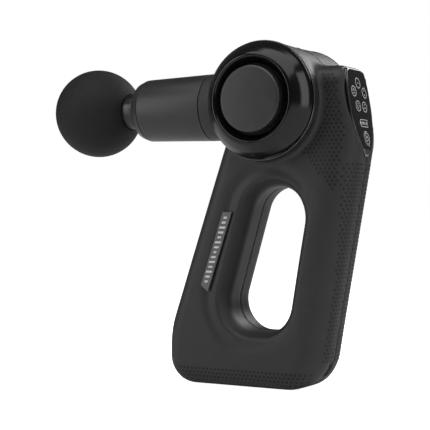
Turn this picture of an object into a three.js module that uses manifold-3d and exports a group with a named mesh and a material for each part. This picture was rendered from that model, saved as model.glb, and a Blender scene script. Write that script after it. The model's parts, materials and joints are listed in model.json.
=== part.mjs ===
// Handheld percussion massager with a ring handle.
//
// Frame: millimetres, +Z up, origin at the centre of the flat base face. The massage head is at
// the -X end and the control panel at the +X end. The motor shaft runs along Y, and the piston
// slides along X. "left" is the -Y side and "right" the +Y side.

import * as THREE from 'three';
import { mergeVertices } from 'three/addons/utils/BufferGeometryUtils.js';
import Module from 'manifold-3d';

const wasm = await Module();
wasm.setup();

// ---------------------------------------------------------------- driving dimensions, mm

const gap = 0.3;                  // clearance between neighbouring pieces
const partingY = 1;               // plane between the shells, beside the middle of the base
const wall = 2.4;                 // housing wall

// Drum: holds the motor, its axis is parallel to Y.
const drumX = 28;                 // axis, ahead of or behind the base centre
const drumZ = 170.5;              // axis above the base
const drumRadius = 35.1;          // outside, at the trim rings
const drumWaist = 0.4;            // how much smaller the drum is at the parting line
const drumHalfWidth = 26;         // end faces that carry the trim rings

// Handle outline in the X-Z plane.
const baseFront = -43;
const baseRear = 58.9;
const baseFrontRadius = 17;
const baseRearRadius = 26;
const kneeHeight = 33;          // where the front edge turns upright
const kneeRadius = 60;
const neckDrop = 8;               // the front edge ends this far under the drum axis
const neckReach = 26;           // and this far ahead of it
const panelReach = 58.4;          // the rear edge is furthest back here, behind the drum axis
const panelDrop = 15;
const panelRadius = 70;
const ledgeReach = 50;          // top rear corner
const ledgeRise = 19.5;
const ledgeRadius = 10;
const handleHalf = 20.5;          // half thickness
const frontRounding = [10, 10];   // rounding of each edge: in the X-Z plane, and along Y
const baseRounding = [8, 11];
const rearRounding = [19, 16];
const ledgeRounding = [9, 12];

// Finger opening.
const openingDrop = 50;           // top of the opening under the drum axis
const baseBarRoom = 7.7;          // bar under the opening: spare height beyond a cell in its cradle
const postRoomTop = 4.7;          // front post: spare width beyond a cell in its cradle
const postRoomFoot = 9.2;
const rearPost = 26.4;
const flareDepth = 12;            // the opening widens over this depth at each face
const flareWidths = [6, 14, 15, 11];  // rear, top, front and bottom edge

// Barrel, piston and massage head, on the X axis through the drum axis. Distances are ahead of
// the drum axis.
const neckRadius = 20.8;
const seamReach = 47.5;           // where the barrel sleeve meets the neck
const sleeveRadius = 20;
const sleeveReach = 94;
const sleeveWall = 2.1;
const lipReach = 99.2;
const lipRadius = 17.2;
const mouthRadius = 13.9;
const guideWall = 3.7;
const bushingRear = 64;
const pistonRadius = 9.8;
const pistonReach = 102.5;
const skirtRadius = 13;
const skirtWall = 2;
const skirtReach = 59;
const skirtLength = 21;
const stroke = 10;
const shankRadius = 7.5;
const shankDepth = 26;
const collarRadius = 11.5;
const collarLength = 8;
const ballRadius = 28.6;
const ballReach = 136.8;
const stubRadius = 6;
const stubLength = 20;

// Motor and crank. Places are along Y.
const shaftRadius = 2.5;
const crankPinRadius = 2.5;
const crankWheelRadius = 11;
const counterweightRadius = 16;
const crankWheelY = 4.1;
const crankWheelWidth = 5;
const rodWidth = 7;
const rodLength = 38;
const rodShankHeight = 7;
const bigEndWall = 2.7;
const wristPinRadius = 2;
const wristPinLength = 13;
const smallEndRadius = 4.6;
const bearingRadius = 5;
const bearingWidth = 3;
const motorPlateY = 10.2;
const motorPlateThickness = 3;
const motorClearance = 4.25;      // between the rotor can and the ledge in the drum
const statorHeight = 9;
const statorTeeth = 9;
const drawnStatorRadius = 18;     // the slot sizes below are drawn for this radius and follow the real one
const yokeDepth = 2.6;
const toothWidth = 3;
const toothTrim = 0.5;            // a tooth starts this far inside the yoke and ends this far inside the edge
const tipWidth = 9;
const tipDepth = 2;
const windingWidth = 3.6;
const windingDrop = 2.2;          // from the yoke to a winding
const windingRoom = 3;            // from a winding to the stator's edge
const magnetThickness = 2.2;
const airGap = 0.6;
const canWall = 1.6;
const shelfWidth = 5.5;           // ledge in the drum that the motor plate and the board sit on
const shelfThickness = 1.6;
const boardThickness = 1.6;

// Side covers.
const coverCrestRadius = 24.8;
const coverCrestY = 40;
const coverBowlFloor = 35;
const coverWall = 2;
const coverPlug = 3;              // how far the cover reaches into the drum
const discRadius = 19.4;
const discY = 41.8;
const trimWidth = 1.5;
const trimProud = 0.2;

// Control panel: a flat facet across the rear of the drum pod, covered by a lens.
const panelBack = 50.7;           // behind the drum axis, at the height of the axis
const panelTilt = 9.8;            // degrees that the facet leans forward at its top
const lensThickness = 1.5;
const lensProud = 0.2;
const powerKeyDrop = 22.8;
const powerKeyRadius = 4.3;
const powerKeyTravel = 0.4;
const iconRingDrop = -2;          // centre of the ring of lamps, under the drum axis
const iconRingRadius = 7.6;
const lampRadius = 1.1;

// Charging socket, in the rear lower corner.
const portAngle = -33;            // degrees below the horizontal
const portLength = 9.5;
const portWidth = 3.6;
const portDepth = 8;

// Badge plate on the left face of the front post.
const badgeLength = 47;
const badgeWidth = 5.8;
const badgeSlant = 2;            // the ends lean this far along the plate
const badgeThickness = 0.8;
const badgeInset = 16;            // behind the front edge
const badgeHeight = 61;

// Vent on top of the drum.
const ventAngle = 24;              // degrees behind the top of the drum
const ventLength = 9;
const ventWidth = 3;
const ventDepth = 1.6;

// Cells, bosses and screws.
const cellRadius = 9.2;
const cellLength = 65;
const cradleWall = 1.3;
const frontCellZ = 48.5;          // lower end of the front cell
const frontCellInset = 4.6;       // spare depth between the front edge and the cell's cradle
const baseCellLift = 1;           // above the floor of the handle
const baseCellInset = 7;
const boardRise = 2;              // charging board above the screw boss and the cell
const bossRadius = 3.8;
const screwRadius = 1.4;
const screwHeadRadius = 2.7;
const screwHeadHeight = 1.8;
const screwHeadSink = 1.2;

// Facets per turn.
const roundLarge = 32;
const roundMedium = 20;
const roundSmall = 10;

// ---------------------------------------------------------------- solids

// Manifold of a closed geometry, turned right side out.
function solid(geometry) {
  geometry.deleteAttribute('normal');
  geometry.deleteAttribute('uv');
  const welded = mergeVertices(geometry, 1e-4);
  const position = welded.attributes.position.array;
  const triangles = [];
  for (let i = 0; i < welded.index.count; i += 3) {
    const [a, b, c] = [0, 1, 2].map((k) => welded.index.getX(i + k));
    if (a !== b && b !== c && c !== a) triangles.push([a, b, c]);
  }
  const corner = (i) => new THREE.Vector3().fromArray(position, 3 * i);
  let volume = 0;
  for (const [a, b, c] of triangles) volume += corner(a).dot(corner(b).cross(corner(c)));
  if (volume < 0) for (const t of triangles) t.reverse();
  const mesh = new wasm.Mesh({
    numProp: 3,
    vertProperties: Float32Array.from(position),
    triVerts: Uint32Array.from(triangles.flat()),
  });
  return new wasm.Manifold(mesh);
}

const join = (...solids) => solids.reduce((whole, next) => whole.add(next));
const cut = (whole, ...tools) => tools.reduce((rest, tool) => rest.subtract(tool), whole);

// Ring or disc turned about an axis. profile holds [radius, place along the axis] pairs and is
// closed on itself, or starts and ends on the axis.
function turned(profile, axis, segments, centre = [0, 0, 0]) {
  const points = profile.map(([r, t]) => new THREE.Vector2(r, t));
  const onAxis = profile[0][0] === 0 && profile.at(-1)[0] === 0;
  if (!onAxis) points.push(points[0].clone());
  const geometry = new THREE.LatheGeometry(points, segments);
  if (axis === 'x') geometry.rotateZ(-Math.PI / 2);
  if (axis === 'z') geometry.rotateX(Math.PI / 2);
  return solid(geometry.translate(...centre));
}

const tube = (inner, outer, from, to, axis, segments, centre) =>
  turned([[inner, from], [outer, from], [outer, to], [inner, to]], axis, segments, centre);

const rod = (radius, from, to, axis, segments, centre) =>
  turned([[0, from], [radius, from], [radius, to], [0, to]], axis, segments, centre);

function box(low, high) {
  const size = high.map((value, i) => value - low[i]);
  const middle = high.map((value, i) => (value + low[i]) / 2);
  return solid(new THREE.BoxGeometry(...size).translate(...middle));
}

// Closed outline in the X-Z plane from corners { x, z, r, steps }, counter-clockwise with +X to
// the right and +Z up. grow moves every edge outward, or each edge by its own amount: edge i
// runs from corner i to the next.
function outline(corners, grow = 0) {
  const count = corners.length;
  const growth = (i) => (Array.isArray(grow) ? grow[i] : grow);
  const edges = corners.map((corner, i) => {
    const next = corners[(i + 1) % count];
    const along = new THREE.Vector2(next.x - corner.x, next.z - corner.z).normalize();
    const start = new THREE.Vector2(corner.x + along.y * growth(i), corner.z - along.x * growth(i));
    return { along, start };
  });
  const arcs = corners.map((corner, i) => {
    const last = (i + count - 1) % count;
    const [into, out] = [edges[last], edges[i]];
    const crossing = into.along.cross(out.along);
    const distance = out.start.clone().sub(into.start).cross(out.along) / crossing;
    const vertex = into.start.clone().addScaledVector(into.along, distance);
    const turn = Math.atan2(crossing, into.along.dot(out.along));
    const side = Math.sign(turn);
    const radius = Math.max(0.6, corner.r + side * (growth(last) + growth(i)) / 2);
    return { vertex, along: into.along, turn, side, radius, tangent: radius * Math.tan(Math.abs(turn) / 2) };
  });
  // Two arcs on one edge may not run into each other.
  const scale = arcs.map(() => 1);
  arcs.forEach((arc, i) => {
    const next = (i + 1) % count;
    const room = arc.vertex.distanceTo(arcs[next].vertex) / (arc.tangent + arcs[next].tangent);
    scale[i] = Math.min(scale[i], 0.99 * room);
    scale[next] = Math.min(scale[next], 0.99 * room);
  });
  return arcs.flatMap(({ vertex, along, turn, side, radius, tangent }, i) => {
    const size = radius * scale[i];
    const toCentre = new THREE.Vector2(-along.y, along.x).multiplyScalar(side * size);
    const centre = vertex.clone().addScaledVector(along, -tangent * scale[i]).add(toCentre);
    const first = Math.atan2(-toCentre.y, -toCentre.x);
    const steps = corners[i].steps ?? 6;
    return Array.from({ length: steps + 1 }, (_, k) => {
      const angle = first + (turn * k) / steps;
      return new THREE.Vector2(size * Math.cos(angle), size * Math.sin(angle)).add(centre);
    });
  });
}

// Solid through a stack of outlines [y, points], all with the same number of points.
function stack(layers) {
  const count = layers[0][1].length;
  const positions = layers.flatMap(([y, points]) => points.flatMap((p) => [p.x, y, p.y]));
  const index = [];
  for (let k = 0; k + 1 < layers.length; k++) {
    for (let i = 0; i < count; i++) {
      const here = k * count + i;
      const beside = k * count + ((i + 1) % count);
      index.push(here, here + count, beside, beside, here + count, beside + count);
    }
  }
  const top = (layers.length - 1) * count;
  for (const [a, b, c] of THREE.ShapeUtils.triangulateShape(layers[0][1], [])) index.push(a, b, c);
  for (const [a, b, c] of THREE.ShapeUtils.triangulateShape(layers.at(-1)[1], [])) {
    index.push(top + c, top + b, top + a);
  }
  const geometry = new THREE.BufferGeometry();
  geometry.setAttribute('position', new THREE.Float32BufferAttribute(positions, 3));
  geometry.setIndex(index);
  return solid(geometry);
}

const prism = (points, from, to) => stack([[from, points], [to, points]]);

// ---------------------------------------------------------------- assembly

const massager = new THREE.Group();

function piece(name, shape, color, roughness, metalness = 0) {
  const { vertProperties, triVerts } = shape.getMesh();
  const geometry = new THREE.BufferGeometry();
  geometry.setAttribute('position', new THREE.Float32BufferAttribute(vertProperties, 3));
  geometry.setIndex(Array.from(triVerts));
  geometry.computeVertexNormals();
  const mesh = new THREE.Mesh(
    geometry, new THREE.MeshStandardMaterial({ color, roughness, metalness }));
  mesh.name = name;
  massager.add(mesh);
}

const softBlack = 0x1c1c1e;
const glossBlack = 0x08080a;
const satinGrey = 0x2c2c2f;
const steel = 0xb9bcc0;
const aluminium = 0xc9ccd0;
const sides = [['left', -1], ['right', 1]];

// ---------------------------------------------------------------- handle outline and opening

const neckFoot = { x: drumX - neckReach, z: drumZ - neckDrop };
const frontSlope = (neckFoot.x - baseFront) / (neckFoot.z - kneeHeight);
const frontEdge = (z) => baseFront + frontSlope * (z - kneeHeight);
const panelZ = drumZ - panelDrop;
const rearSlope = (drumX + panelReach - baseRear) / panelZ;
const rearEdge = (z) => baseRear + rearSlope * z;

const handleCorners = [
  { ...neckFoot, r: 1, steps: 1 },
  { x: baseFront, z: kneeHeight, r: kneeRadius, steps: 3 },
  { x: baseFront, z: 0, r: baseFrontRadius, steps: 5 },
  { x: baseRear, z: 0, r: baseRearRadius, steps: 5 },
  { x: drumX + panelReach, z: panelZ, r: panelRadius, steps: 4 },
  { x: drumX + ledgeReach, z: drumZ + ledgeRise, r: ledgeRadius, steps: 4 },
  { x: drumX + drumRadius * 0.68, z: drumZ + ledgeRise + 1, r: 1, steps: 1 },
];

const openingTop = drumZ - openingDrop;
// The posts follow the cells that they hold.
const cellPost = 2 * (cellRadius + cradleWall + wall);
const baseBar = cellPost + baseBarRoom;
const frontPostTop = cellPost + postRoomTop;
const frontPostFoot = cellPost + postRoomFoot;
const baseCellZ = wall + baseCellLift + cradleWall + cellRadius + gap;
const openingCorners = [
  { x: rearEdge(baseBar) - rearPost, z: baseBar, r: 19, steps: 5 },
  { x: rearEdge(openingTop) - rearPost, z: openingTop, r: 19, steps: 5 },
  { x: frontEdge(openingTop) + frontPostTop, z: openingTop, r: 18, steps: 5 },
  { x: frontEdge(baseBar) + frontPostFoot, z: baseBar, r: 18, steps: 5 },
];

const quarter = [0, 30, 60, 90].map((degrees) => THREE.MathUtils.degToRad(degrees));

// Mirror a list of [y, points] layers from the +Y half to both halves.
const bothHalves = (layers) => [
  ...layers.map(([y, points]) => [-y, points]).reverse(),
  ...layers,
];

// Rounding of the edge that starts at each corner of the outline.
const handleRounding = [frontRounding, frontRounding, baseRounding, rearRounding, rearRounding,
  ledgeRounding, ledgeRounding];
const layerHeights = [0.12, 0.5, 0.76, 0.93, 1];

// Handle block with rounded long edges; inset makes the hollow that leaves a wall.
function handleBlock(inset = 0) {
  const half = handleHalf - inset;
  return stack(bothHalves(layerHeights.map((share) => {
    const y = half * share;
    const grow = handleRounding.map(([width, depth]) => {
      const rise = Math.max(0, y - (handleHalf - depth)) / (depth - inset);
      return -inset - (width - inset) * (1 - Math.sqrt(Math.max(0, 1 - rise * rise)));
    });
    return [y, outline(handleCorners, grow)];
  })));
}

// Tool for the finger opening, narrow in the middle and flared at both faces; extra makes the
// wall around it.
function openingTool(extra = 0) {
  const flare = quarter.slice(0, 3).concat(THREE.MathUtils.degToRad(80));
  const layers = flare.map((t) => [
    handleHalf - flareDepth + (flareDepth - extra) * Math.sin(t),
    outline(openingCorners, flareWidths.map((w) => w * (1 - Math.cos(t)) + extra)),
  ]);
  layers.push([handleHalf + 4, layers.at(-1)[1]]);
  return stack(bothHalves(layers));
}

// ---------------------------------------------------------------- housing

const axis = [drumX, 0, drumZ];
const boreRadius = drumRadius - drumWaist - wall;
const statorRadius = boreRadius - shelfWidth - motorClearance - canWall - gap / 2
  - magnetThickness - airGap;
const onBarrel = (profile, segments = roundMedium) =>
  turned(profile.map(([r, reach]) => [r, -reach]), 'x', segments, axis);
const barrelTube = (inner, outer, from, to, segments = roundMedium) =>
  onBarrel([[inner, from], [outer, from], [outer, to], [inner, to]], segments);
const barrelRod = (radius, from, to, segments = roundMedium) =>
  onBarrel([[0, from], [radius, from], [radius, to], [0, to]], segments);

function drum() {
  const waist = [-1, -0.6, 0, 0.6, 1].map((t) =>
    [drumRadius - drumWaist * (1 - t * t), t * drumHalfWidth]);
  return turned([[0, -drumHalfWidth], ...waist, [0, drumHalfWidth]], 'y', roundLarge, axis);
}

const guideRadius = sleeveRadius - sleeveWall - gap;
const guideBore = guideRadius - guideWall;

const bossPoints = [
  { x: frontEdge(openingTop + 11) + 15, z: openingTop + 11 },
  { x: frontEdge(baseBar) + 13.5, z: baseBar + 2 },
  { x: baseRear - 17.5, z: 20 },
  { x: rearEdge(openingTop - 24) - rearPost * 0.6, z: openingTop - 24 },
];

// Everything behind the panel's facet, moved outward by proud.
const panelNormal = new THREE.Vector3(
  Math.cos(THREE.MathUtils.degToRad(panelTilt)), 0, Math.sin(THREE.MathUtils.degToRad(panelTilt)));
const panelX = (z) => drumX + panelBack - (z - drumZ) * panelNormal.z / panelNormal.x;
const panelPoint = (z, y = 0) => new THREE.Vector3(panelX(z), y, z);
function behindPanel(proud) {
  const geometry = new THREE.BoxGeometry(80, 160, 400);
  geometry.translate(40 + proud, 0, 0);
  geometry.applyQuaternion(
    new THREE.Quaternion().setFromUnitVectors(new THREE.Vector3(1, 0, 0), panelNormal));
  return solid(geometry.translate(panelX(drumZ), 0, drumZ));
}

const cornerReach = Math.tan((Math.PI / 2 - Math.atan(rearSlope)) / 2);
const portTurn = THREE.MathUtils.degToRad(portAngle);
const portCentre = (() => {
  const middle = { x: baseRear - baseRearRadius * cornerReach, z: baseRearRadius };
  return {
    x: middle.x + baseRearRadius * Math.cos(portTurn),
    z: middle.z + baseRearRadius * Math.sin(portTurn),
  };
})();

// Pill-shaped bar that points out of the rear lower corner, from one depth to another.
function portPill(grow, from, to) {
  const half = portWidth / 2 + grow;
  const reach = portLength / 2 - portWidth / 2;
  const shape = new THREE.Shape();
  shape.absarc(reach, 0, half, -Math.PI / 2, Math.PI / 2);
  shape.absarc(-reach, 0, half, Math.PI / 2, Math.PI * 1.5);
  const geometry = new THREE.ExtrudeGeometry(
    shape, { depth: to - from, bevelEnabled: false, curveSegments: 6 });
  geometry.translate(0, 0, from);
  const out = new THREE.Vector3(Math.cos(portTurn), 0, Math.sin(portTurn));
  const across = new THREE.Vector3(0, 1, 0);
  geometry.applyMatrix4(new THREE.Matrix4().makeBasis(
    new THREE.Vector3().crossVectors(across, out), across, out));
  return solid(geometry.translate(portCentre.x, 0, portCentre.z));
}

// Pill-shaped pocket on top of the drum, for the vent.
function ventPill(grow, from, to) {
  const half = ventWidth / 2 + grow;
  const reach = ventLength / 2 - ventWidth / 2;
  const shape = new THREE.Shape();
  shape.absarc(reach, 0, half, -Math.PI / 2, Math.PI / 2);
  shape.absarc(-reach, 0, half, Math.PI / 2, Math.PI * 1.5);
  const geometry = new THREE.ExtrudeGeometry(
    shape, { depth: to - from, bevelEnabled: false, curveSegments: 5 });
  geometry.translate(0, 0, from);
  geometry.rotateY(THREE.MathUtils.degToRad(ventAngle));
  return solid(geometry.translate(...axis));
}

const screwSeat = handleHalf - screwHeadSink;
const bosses = bossPoints.map(({ x, z }) =>
  rod(bossRadius, -handleHalf + wall / 2, handleHalf - wall / 2, 'y', roundSmall, [x, 0, z]));
const screwHoles = bossPoints.map(({ x, z }) => turned([
  [0, -handleHalf + 2 * wall], [screwRadius + gap, -handleHalf + 2 * wall],
  [screwRadius + gap, screwSeat - screwHeadHeight - gap],
  [screwHeadRadius + gap, screwSeat - screwHeadHeight - gap],
  [screwHeadRadius + gap, handleHalf + 2], [0, handleHalf + 2],
], 'y', roundSmall, [x, 0, z]));

// Ledges inside the drum, with room for the piston's skirt.
const shelfY = motorPlateY + motorPlateThickness + gap;
const skirtRoom = barrelRod(skirtRadius + 4 * gap, -(stroke + skirtLength - skirtReach) - 10,
  seamReach + 20);
const shelf = (from) => cut(
  tube(boreRadius - shelfWidth, boreRadius + wall / 2, from, from + shelfThickness, 'y',
    roundMedium, axis),
  skirtRoom);
const plateScrews = [75, 135, 270].map((degrees) => {
  const angle = THREE.MathUtils.degToRad(degrees);
  const reach = boreRadius - screwHeadRadius - 2 * gap;
  return [drumX + reach * Math.cos(angle), 0, drumZ + reach * Math.sin(angle)];
});
const plateScrewHoles = plateScrews.map((place) =>
  rod(screwRadius + gap / 2, motorPlateY - 1, shelfY + shelfThickness + 1, 'y', roundSmall, place));

// Neck that the barrel plugs into, joined with the handle block and the drum.
const outerBody = join(
  handleBlock(),
  drum(),
  barrelRod(neckRadius, 5, seamReach - gap / 2, roundLarge),
);

const lensSink = lensThickness - lensProud + gap;
const badgeSpan = (() => {
  const low = { x: frontEdge(badgeHeight) + badgeInset, z: badgeHeight };
  const along = new THREE.Vector2(frontSlope, 1).normalize();
  const across = new THREE.Vector2(along.y, -along.x);
  return (grow, from, to) => {
    const at = (u, v) => new THREE.Vector2(low.x, low.z)
      .addScaledVector(along, u).addScaledVector(across, v);
    return prism([
      at(-grow, -grow), at(-badgeSlant - grow, badgeWidth + grow),
      at(badgeLength + badgeSlant + grow, badgeWidth + grow), at(badgeLength + grow, -grow),
    ], from, to);
  };
})();

function housing(side) {
  const half = box([-200, side < 0 ? -100 : partingY + gap / 2, -50],
    [200, side < 0 ? partingY - gap / 2 : 100, 300]);
  const hollow = join(
    cut(handleBlock(wall), openingTool(wall), behindPanel(-lensSink - wall)),
    rod(boreRadius, -drumHalfWidth - 2, drumHalfWidth + 2, 'y', roundLarge, axis),
    barrelRod(guideRadius + gap, 10, seamReach + 2, roundLarge),
  );
  let shell = cut(outerBody, hollow);
  shell = join(shell, ...bosses, shelf(side < 0 ? -shelfY - shelfThickness : shelfY));
  shell = cut(shell, openingTool(), ...screwHoles, ...plateScrewHoles, behindPanel(-lensSink),
    keyRoom(), portPill(gap, -portDepth - 4, 4), ventPill(gap, drumRadius - drumWaist - ventDepth, 60),
    badgeSpan(gap / 2, -handleHalf - 1, -handleHalf + badgeThickness + gap / 2));
  shell = shell.intersect(half);
  return shell.decompose().reduce((best, next) => (next.volume() > best.volume() ? next : best));
}

// Power key, in the lens under the lamps. It travels square to the panel.
const keyPoint = panelPoint(drumZ - powerKeyDrop);
function keyCylinder(radius, from, to, segments = roundSmall) {
  const geometry = new THREE.CylinderGeometry(radius, radius, to - from, segments);
  geometry.translate(0, (from + to) / 2, 0);
  geometry.applyQuaternion(
    new THREE.Quaternion().setFromUnitVectors(new THREE.Vector3(0, 1, 0), panelNormal));
  return solid(geometry.translate(...keyPoint.toArray()));
}
const keyDepth = lensThickness + wall;
const keyRoom = () => keyCylinder(powerKeyRadius + gap, -keyDepth - 6, 6, roundMedium);

piece('housing_left', housing(-1), softBlack, 0.62);
piece('housing_right', housing(1), softBlack, 0.62);

// ---------------------------------------------------------------- panel

const lens = cut(handleBlock().intersect(behindPanel(-lensSink + gap)), behindPanel(lensProud), keyRoom());
piece('control_lens', lens, glossBlack, 0.08);

const keyStemLength = 3;
piece('power_button', join(
  keyCylinder(powerKeyRadius, -lensThickness, lensProud + powerKeyTravel / 2, roundMedium),
  keyCylinder(1.6, -lensThickness - keyStemLength, -lensThickness + 0.2),
), glossBlack, 0.12);

const boardTop = drumZ + 8;
const boardFoot = drumZ - powerKeyDrop - 8;
const boardX = panelX(boardTop) - lensSink - wall - 4;
piece('control_board', box([boardX - boardThickness, -11, boardFoot], [boardX, 11, boardTop]),
  0x1d5a34, 0.5);
const stemEnd = keyPoint.x - (lensThickness + keyStemLength + 1.6) * panelNormal.x - powerKeyTravel;
piece('button_switch', box([boardX + gap, -3, keyPoint.z - 3.5], [stemEnd, 3, keyPoint.z + 2.5]),
  0x3a3a3d, 0.4);

const lampPlaces = Array.from({ length: 5 }, (_, i) => {
  const angle = (i / 5) * 2 * Math.PI;
  return [iconRingRadius * Math.sin(angle), drumZ - iconRingDrop + iconRingRadius * Math.cos(angle)];
}).filter(([, z]) => z < boardTop - lampRadius);
const lampStrip = box([boardX + gap, -9, drumZ - iconRingDrop - iconRingRadius],
  [boardX + 1.1, 9, boardTop]);
piece('indicator_lamps', join(lampStrip, ...lampPlaces.map(([y, z]) =>
  rod(lampRadius, boardX + 1, boardX + 2.8, 'x', 8, [0, y, z]))), 0xf2f2ea, 0.3);

// ---------------------------------------------------------------- side covers

function coverShell() {
  const crest = coverCrestY;
  const rim = drumHalfWidth + trimWidth + 2 * gap;
  const bowl = discRadius + 1.2;
  const plug = boreRadius - gap;
  const profile = [
    [0, coverBowlFloor], [bowl, coverBowlFloor], [coverCrestRadius - 1.6, crest - 2.2],
    [coverCrestRadius, crest], [coverCrestRadius + 1.6, crest - 0.6],
    [drumRadius - 1, rim + 2.6], [drumRadius, rim],
    [plug, rim], [plug, rim - coverPlug - trimWidth], [plug - coverWall, rim - coverPlug - trimWidth],
    [plug - coverWall, rim + 1], [coverCrestRadius - 0.8, crest - coverWall - 1.4],
    [coverCrestRadius - 2.6, coverBowlFloor - coverWall], [0, coverBowlFloor - coverWall],
  ];
  return profile;
}

const discProfile = [
  [0, coverBowlFloor + gap], [discRadius, coverBowlFloor + gap], [discRadius, discY - 1.4],
  [discRadius - 0.4, discY - 0.5], [discRadius - 1.4, discY], [0, discY],
];
const trimProfile = [
  [boreRadius + gap, drumHalfWidth + gap], [drumRadius + trimProud * 0.4, drumHalfWidth + gap],
  [drumRadius + trimProud, drumHalfWidth + gap + trimWidth / 2],
  [drumRadius + trimProud * 0.4, drumHalfWidth + gap + trimWidth],
  [boreRadius + gap, drumHalfWidth + gap + trimWidth],
];

for (const [name, side] of sides) {
  const facing = (profile) => profile.map(([r, y]) => [r, side * y]);
  piece(`side_cover_${name}`, turned(facing(coverShell()), 'y', roundLarge, axis), glossBlack, 0.1);
  piece(`cover_disc_${name}`, turned(facing(discProfile), 'y', roundLarge, axis), satinGrey, 0.5);
  piece(`trim_ring_${name}`, turned(facing(trimProfile), 'y', roundLarge, axis), 0x6c6c70, 0.2, 1);
}

// ---------------------------------------------------------------- barrel

const sleeveRear = seamReach + gap / 2;
piece('barrel_sleeve', onBarrel([
  [sleeveRadius - sleeveWall, sleeveRear], [neckRadius, sleeveRear],
  [sleeveRadius - 0.3, sleeveReach], [sleeveRadius - sleeveWall, sleeveReach],
], roundLarge), softBlack, 0.6);
piece('barrel_front_ring', onBarrel([
  [mouthRadius, sleeveReach + gap], [sleeveRadius - 0.3, sleeveReach + gap],
  [lipRadius + 0.8, lipReach - 0.4], [lipRadius, lipReach], [mouthRadius, lipReach],
], roundLarge), satinGrey, 0.45);
piece('guide_tube', barrelTube(guideBore, guideRadius, drumRadius + 0.9, sleeveReach), aluminium, 0.35, 1);
const bushingInner = pistonRadius + gap;
piece('guide_bushing', barrelTube(bushingInner, guideBore - gap, bushingRear, sleeveReach - 2),
  0xe8e4d6, 0.5);

const socketRadius = shankRadius + gap;
piece('piston', onBarrel([
  [0, skirtReach - 1.5], [skirtRadius - skirtWall, skirtReach - 1.5],
  [skirtRadius - skirtWall, skirtReach - skirtLength], [skirtRadius, skirtReach - skirtLength],
  [skirtRadius, skirtReach], [pistonRadius, skirtReach + 2], [pistonRadius, pistonReach],
  [socketRadius, pistonReach], [socketRadius, pistonReach - shankDepth - gap],
  [0, pistonReach - shankDepth - gap],
]), aluminium, 0.3, 1);

// ---------------------------------------------------------------- massage head

const collarRear = pistonReach + gap;
const collarFront = collarRear + collarLength;
const grooveRadius = shankRadius - 1.5;
const grooveReach = pistonReach - shankDepth / 2;
piece('head_shank', onBarrel([
  [0, pistonReach - shankDepth], [shankRadius - 1, pistonReach - shankDepth],
  [shankRadius, pistonReach - shankDepth + 1], [shankRadius, grooveReach - 1.2],
  [grooveRadius, grooveReach - 1.2], [grooveRadius, grooveReach + 1.2],
  [shankRadius, grooveReach + 1.2], [shankRadius, collarRear], [collarRadius - 1, collarRear],
  [collarRadius, collarRear + 1], [collarRadius, collarFront], [stubRadius, collarFront],
  [stubRadius, collarFront + stubLength], [0, collarFront + stubLength],
]), 0x2a2a2d, 0.25);
const ringSection = Array.from({ length: 6 }, (_, i) => {
  const angle = (i / 6) * 2 * Math.PI;
  return [grooveRadius + gap / 2 + 0.7 + 0.7 * Math.cos(angle), grooveReach + 0.7 * Math.sin(angle)];
});
piece('head_o_ring', onBarrel(ringSection), 0x101010, 0.7);
const ball = solid(new THREE.SphereGeometry(ballRadius, roundMedium, 14)
  .rotateZ(Math.PI / 2).translate(drumX - ballReach, 0, drumZ));
piece('massage_head_ball', cut(ball,
  barrelRod(collarRadius + gap, ballReach - ballRadius - 5, collarFront + gap),
  barrelRod(stubRadius + gap, ballReach - ballRadius - 5, collarFront + stubLength + gap),
), 0x202022, 0.9);

// ---------------------------------------------------------------- crank and rod

// Drawn with the crank at front dead centre: the crank pin is ahead of the shaft by half the
// stroke, and the rod lies along the barrel's axis.
const crankArm = stroke / 2;
const pinPlace = [drumX - crankArm, 0, drumZ];
const wristPlace = [drumX - crankArm - rodLength, 0, drumZ];
const bigBore = bearingRadius + gap / 2;
const bigEnd = bigBore + bigEndWall;
const crankEnd = crankWheelY + crankWheelWidth;
piece('crank_pin', rod(crankPinRadius, -rodWidth / 2 - 0.6, crankEnd - 1, 'y', roundSmall, pinPlace),
  steel, 0.2, 1);
piece('crank_bearing', tube(crankPinRadius + gap / 2, bearingRadius, -rodWidth / 2, rodWidth / 2 - 0.5,
  'y', roundSmall, pinPlace), steel, 0.25, 1);
const lobe = rod(counterweightRadius, crankWheelY, crankEnd, 'y', roundMedium, axis)
  .intersect(box([drumX + 2, -50, 0], [drumX + 50, 50, 300]));
piece('crank_wheel', cut(
  join(rod(crankWheelRadius, crankWheelY, crankEnd, 'y', roundMedium, axis), lobe),
  rod(shaftRadius + gap / 2, 0, 50, 'y', roundSmall, axis),
  rod(crankPinRadius + gap / 2, 0, crankEnd - 1 + gap, 'y', roundSmall, pinPlace),
), 0x8d9096, 0.35, 1);
const rodBody = join(
  rod(bigEnd, -rodWidth / 2, rodWidth / 2, 'y', roundMedium, pinPlace),
  rod(smallEndRadius, -rodWidth / 2, rodWidth / 2, 'y', roundSmall, wristPlace),
  box([wristPlace[0], -rodWidth / 2, drumZ - rodShankHeight / 2],
    [pinPlace[0], rodWidth / 2, drumZ + rodShankHeight / 2]),
);
piece('connecting_rod', cut(rodBody,
  rod(bigBore, -50, 50, 'y', roundSmall, pinPlace),
  rod(wristPinRadius + gap / 2, -50, 50, 'y', roundSmall, wristPlace),
), aluminium, 0.35, 1);
piece('wrist_pin', rod(wristPinRadius, -wristPinLength / 2, wristPinLength / 2, 'y', roundSmall,
  wristPlace), steel, 0.2, 1);

// ---------------------------------------------------------------- motor

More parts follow.
